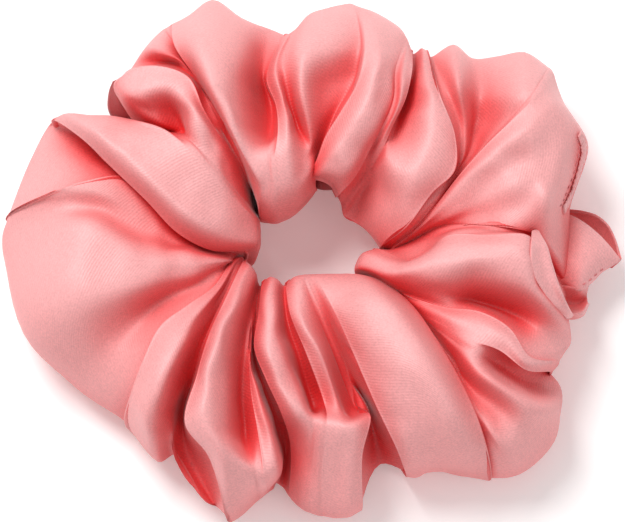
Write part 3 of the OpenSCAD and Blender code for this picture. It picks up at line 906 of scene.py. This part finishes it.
def satin_casing(grid):
    """The long tube of satin gathered round the loop, and how much of its openness each point
    keeps for the painted shade: all of it, but for the two small layers painted dark as shadow."""
    dark = [facing_up(sheet_grid(rows, SHEET_STEPS)) for rows in (HOOD_BACK, TIP_BACK)]
    points = list(grid.reshape(-1, 3))
    faces = grid_faces(*grid.shape[:2], 0, True, True)
    join_sheets(points, faces, dark)
    casing = make_piece("satin_casing", points, faces)
    add_weave_place(casing, [grid, *dark])
    shares = np.ones(len(points))
    shares[grid[..., 0].size:] = PAINTED_SHADOW_SHARE
    return casing, shares


def closing_hem(tree):
    """The folded hem along the edge of the right panel, and the loose flap that it ends in."""
    seats = [seat(tree, across, up) for across, up in spline_strip(np.array(HEM_LINE, float), 8)]
    normals = np.array([normal for _, normal in seats])
    ripple = 0.12 * np.sin(np.arange(len(seats)) * 1.9)
    path = np.array([place for place, _ in seats]) + normals * (0.25 + ripple[:, None]) * MM
    half_width, sides, flatness = 1.1 * MM, 14, 0.28
    rings = tube_rings(path, np.full(len(path), half_width), sides, normals, flatness)
    points = list(rings.reshape(-1, 3))
    faces = grid_faces(len(path), sides, 0, False, True) + end_faces(len(path), sides)
    sheets = [facing_up(sheet_grid(rows, SHEET_STEPS)) for rows in (FLAP_FRONT, FLAP_BACK, CUFF_ROLL, CUP)]
    join_sheets(points, faces, sheets)
    hem = make_piece("closing_hem_and_flap", points, faces)
    add_weave_place(hem, [rings, *sheets])
    return hem


# ---------------- what lies inside
ELASTIC_RIBS = 7       # rounded ribs across the width of the flat elastic
ELASTIC_STEPS = 150    # sections along it
TACK_RADIUS, SEAM_RADIUS = 0.18 * MM, 0.16 * MM


def band_section(width, thickness, ribs):
    """The outline of the flat elastic, with rounded ribs along both faces."""
    groove, rim = 0.18, 0.45   # a groove's depth and the sides' thickness, as shares of the middle's
    steps = ribs * 4
    points = []
    for face in (-1, 1):
        for k in range(steps + 1):
            share = k / steps
            rib = 1 - groove + groove * abs(math.sin(math.pi * ribs * share))
            taper = min(1.0, rim + 4 * min(share, 1 - share))
            points.append((face * thickness / 2 * rib * taper, face * width * (share - 0.5)))
    return points


class ElasticRun:
    """The elastic's path: once round the hair opening, with its last end laid over its first."""

    def __init__(self):
        low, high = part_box("elastic_left")
        self.thickness = 1 * MM
        self.width = high[2] - low[2]
        self.height = (low[2] + high[2]) / 2
        self.back = (low[1] + high[1]) / 2
        self.half_y = (high[1] - low[1] - self.thickness) / 2
        self.half_x = -low[0] - self.thickness / 2
        self.overlap = math.radians(33)

    def step_out(self, angle):
        """How far the last end stands out, so that it lies over the first."""
        share = (angle - (2 * math.pi - 1.5 * self.overlap)) / self.overlap
        share = min(max(share, 0), 1)
        return 1.1 * self.thickness * share * share * (3 - 2 * share)

    def point(self, angle, out, rise):
        """A point at an angle round the loop, so far out and so far up from the elastic's middle."""
        reach = 1 / math.hypot(math.cos(angle) / self.half_x, math.sin(angle) / self.half_y)
        reach += out + self.step_out(angle)
        return (reach * math.cos(angle), self.back + reach * math.sin(angle), self.height + rise)

    def outward(self, angle):
        return (math.cos(angle), math.sin(angle), 0)


def elastic_band(run):
    section = band_section(run.width, run.thickness, ELASTIC_RIBS)
    start, end = -run.overlap / 2, 2 * math.pi + run.overlap / 2
    points = []
    for i in range(ELASTIC_STEPS + 1):
        angle = start + (end - start) * i / ELASTIC_STEPS
        points += [run.point(angle, out, rise) for out, rise in section]
    count = len(section)
    faces = grid_faces(ELASTIC_STEPS + 1, count, 0, False, True)
    return make_piece("elastic_band", points, faces + end_faces(ELASTIC_STEPS + 1, count))


def elastic_join(run, tacks=8):
    """The zigzag that holds the overlapped ends, on both faces of the doubled elastic."""
    stitches = []
    side_margin, stitched_share = 0.6 * MM, 0.8
    reach = run.width / 2 - side_margin
    pitch = run.overlap * stitched_share / tacks
    full_turn = 2 * math.pi
    for i in range(tacks):
        angle = pitch * (i - tacks / 2)
        for near, far, side in ((-reach, reach, 0), (reach, -reach, 0.5)):
            a, b = angle + pitch * side, angle + pitch * (side + 0.5)
            inner = -run.thickness / 2
            stitches.append((run.point(a, inner, near), run.point(b, inner, far),
                             [-v for v in run.outward(a)]))
            outer = run.thickness / 2
            stitches.append((run.point(a + full_turn, outer, near),
                             run.point(b + full_turn, outer, far), run.outward(a)))
    return thread_piece("elastic_join_stitches", stitches, TACK_RADIUS)


def long_seam(grid):
    """The seam that makes the strip a tube, inside it and low on the opening's side."""
    row = -2 * STATION_STEPS + 3   # counted back from the lip, down the wall of the opening
    inset, stitch_share, step = 0.06, 0.78, 4
    centre = grid.mean(1)
    line = grid[:, row] + (centre - grid[:, row]) * inset
    line = (line + np.roll(line, 1, 0) + np.roll(line, -1, 0)) / 3
    inward = centre - line
    inward /= np.linalg.norm(inward, axis=1, keepdims=True)
    stitches = []
    for i in range(0, len(line), step):
        start, end = line[i], line[(i + step) % len(line)]
        stitches.append((start, start + (end - start) * stitch_share, inward[i]))
    return thread_piece("long_seam_stitches", stitches, SEAM_RADIUS)


# ---------------- assembly
STITCH_PITCH, STITCH_LENGTH, STITCH_RADIUS = 1.8 * MM, 1.2 * MM, 0.17 * MM
CLOTH_THICKNESS = 0.3 * MM


def finish(piece, material, slot, nodes, thickness=0):
    """A piece's material, its thickness if it is cloth, and the CAD nodes that it replaces."""
    piece.data.materials.append(material)
    if thickness:
        solidify = piece.modifiers.new("thickness", "SOLIDIFY")
        solidify.thickness = thickness
        solidify.offset = -1
    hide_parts(*nodes)


def finish_round(piece, *details):
    """The same for a piece that goes round the loop, and so is stretched with it."""
    finish(piece, *details)
    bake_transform(piece)


add_camera()
add_stage()

grid = settled(casing_grid())
tube_tree = surface_tree(grid)
casing, shares = satin_casing(grid)
hem = closing_hem(tube_tree)
cloth_tree = surface_tree(grid, hem)
# painted shade on the casing, and on the hem and flap, kept there to the lighter half
add_painted_shade(casing, cloth_tree, shares=shares)
add_painted_shade(hem, cloth_tree, rounds=2, least=0.5)

satin, thread, elastic = satin_material(), thread_material(), elastic_material()
topstitches = thread_piece("topstitches",
                           seated_row(cloth_tree, HEM_INNER, STITCH_PITCH, STITCH_LENGTH)
                           + seated_row(cloth_tree, FLAP_HEM_LINE, STITCH_PITCH, STITCH_LENGTH),
                           STITCH_RADIUS)
run = ElasticRun()

finish_round(casing, satin, "satin", ["casing_left", "casing_right"], CLOTH_THICKNESS)
finish_round(elastic_band(run), elastic, "elastic", ["elastic_left", "elastic_right"])
finish_round(elastic_join(run), thread, "thread", ["elastic_join_thread"])
finish_round(long_seam(grid), thread, "thread", ["long_seam_thread_left", "long_seam_thread_right"])
finish(hem, satin, "satin", ["closing_hem"], CLOTH_THICKNESS)
finish(topstitches, thread, "thread", ["closing_seam_thread"])
for piece in (hem, topstitches):
    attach(piece, "right_side")
